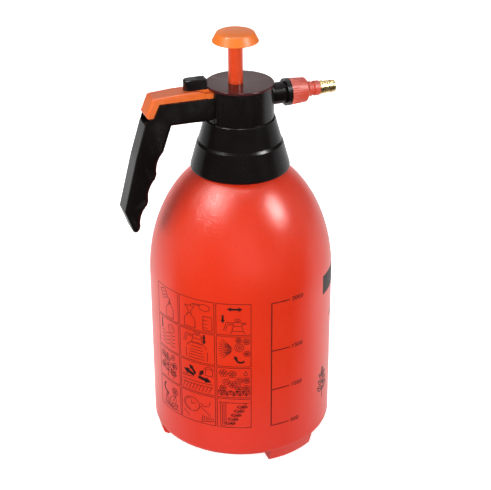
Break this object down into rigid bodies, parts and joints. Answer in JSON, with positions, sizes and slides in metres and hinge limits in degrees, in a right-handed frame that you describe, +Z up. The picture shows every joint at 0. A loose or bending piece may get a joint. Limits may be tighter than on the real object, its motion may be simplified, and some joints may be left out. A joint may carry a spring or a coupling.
{
  "type": "pump sprayer",
  "caption": "Hand pressure sprayer: round tank on feet, screw collar, push-down pump with mushroom knob, lever trigger over a finger grip, and a nozzle with a brass tip.",
  "frame": {"origin": "on the tank's axis, level with the soles of the feet", "axes": "+Z up along the tank's axis; +X the way the nozzle sprays, with the grip on the -X side"},
  "size_m": [0.1636, 0.138, 0.3246],
  "materials": {
    "tank_plastic": "translucent red-orange blown polyethylene with a fine grain",
    "black_plastic": "black moulded polypropylene, satin",
    "lid_plastic": "polished dark grey-black lid",
    "orange_plastic": "orange moulded plastic",
    "rod_plastic": "deep orange moulded rod",
    "nozzle_plastic": "red moulded plastic",
    "clear_plastic": "natural white polypropylene",
    "seal_rubber": "black rubber",
    "brass": "turned brass",
    "steel": "stainless spring and pin steel"
  },
  "bodies": {
    "tank": {"tank": "tank_plastic"},
    "head": {"head_casing": "black_plastic", "tank_gasket": "seal_rubber", "top_cover": "lid_plastic", "pump_cylinder": "clear_plastic", "cylinder_seal": "seal_rubber", "cylinder_cap": "clear_plastic", "check_valve_cage": "clear_plastic", "valve_spring": "steel", "spring_washer": "steel", "stem_seal": "seal_rubber", "stem_gland": "black_plastic", "dip_tube": "clear_plastic", "intake_filter": "clear_plastic", "trigger_pin": "steel"},
    "collar": {"screw_collar": "black_plastic"},
    "plunger": {"pump_rod": "rod_plastic", "piston": "clear_plastic", "piston_seal": "seal_rubber", "pump_knob": "orange_plastic"},
    "check_leaf": {"check_valve_leaf": "seal_rubber"},
    "trigger": {"trigger": "orange_plastic"},
    "lock": {"lock_button": "black_plastic"},
    "valve": {"valve_stem": "brass", "valve_seal": "seal_rubber"},
    "lance": {"nozzle_lance": "nozzle_plastic", "nozzle_washer": "seal_rubber", "swirl_core": "clear_plastic"},
    "nut": {"nozzle_nut": "nozzle_plastic"},
    "tip_ring": {"tip_seal": "seal_rubber"},
    "tip": {"brass_tip": "brass"}
  },
  "joints": [
    {"name": "head_lift", "type": "slide", "parent": "tank", "child": "head", "axis": [0, 0, 1], "range_m": [0, 0.008]},
    {"name": "collar_turn", "type": "hinge", "parent": "head", "child": "collar", "pos_m": [0, 0, 0.24], "axis": [0, 0, 1], "range_deg": [0, 720.5]},
    {"name": "plunger_stroke", "type": "slide", "parent": "head", "child": "plunger", "axis": [0, 0, 1], "range_m": [-0.029, 0.03]},
    {"name": "check_leaf_lift", "type": "slide", "parent": "head", "child": "check_leaf", "axis": [0, 0, -1], "range_m": [0, 0.0015], "stiffness_N_per_m": 20},
    {"name": "trigger_press", "type": "hinge", "parent": "head", "child": "trigger", "pos_m": [-0.019, 0, 0.2754], "axis": [0, -1, 0], "range_deg": [0, 5], "stiffness_Nm_per_rad": 0.53},
    {"name": "lock_slide", "type": "slide", "parent": "trigger", "child": "lock", "axis": [-1, 0, 0], "range_m": [0, 0.006]},
    {"name": "valve_lift", "type": "slide", "parent": "head", "child": "valve", "axis": [0, 0, 1], "range_m": [0, 0.0032], "deforming": ["valve_spring"]},
    {"name": "lance_advance", "type": "slide", "parent": "head", "child": "lance", "axis": [1, 0, 0], "range_m": [0, 0.003]},
    {"name": "nut_turn", "type": "hinge", "parent": "lance", "child": "nut", "pos_m": [0.043, 0, 0.2733], "axis": [1, 0, 0], "range_deg": [0, 720.5]},
    {"name": "tip_advance", "type": "slide", "parent": "lance", "child": "tip_ring", "axis": [1, 0, 0], "range_m": [0, 0.0015]},
    {"name": "tip_turn", "type": "hinge", "parent": "tip_ring", "child": "tip", "pos_m": [0.066, 0, 0.2733], "axis": [1, 0, 0], "range_deg": [0, 540.5]}
  ],
  "couplings": [
    {"joint": "collar_turn", "follows": "head_lift", "rad_per_m": 1570.8},
    {"joint": "valve_lift", "follows": "trigger_press", "m_per_rad": 0.0365},
    {"joint": "nut_turn", "follows": "lance_advance", "rad_per_m": 4188.8},
    {"joint": "tip_turn", "follows": "tip_advance", "rad_per_m": 6283.2}
  ]
}
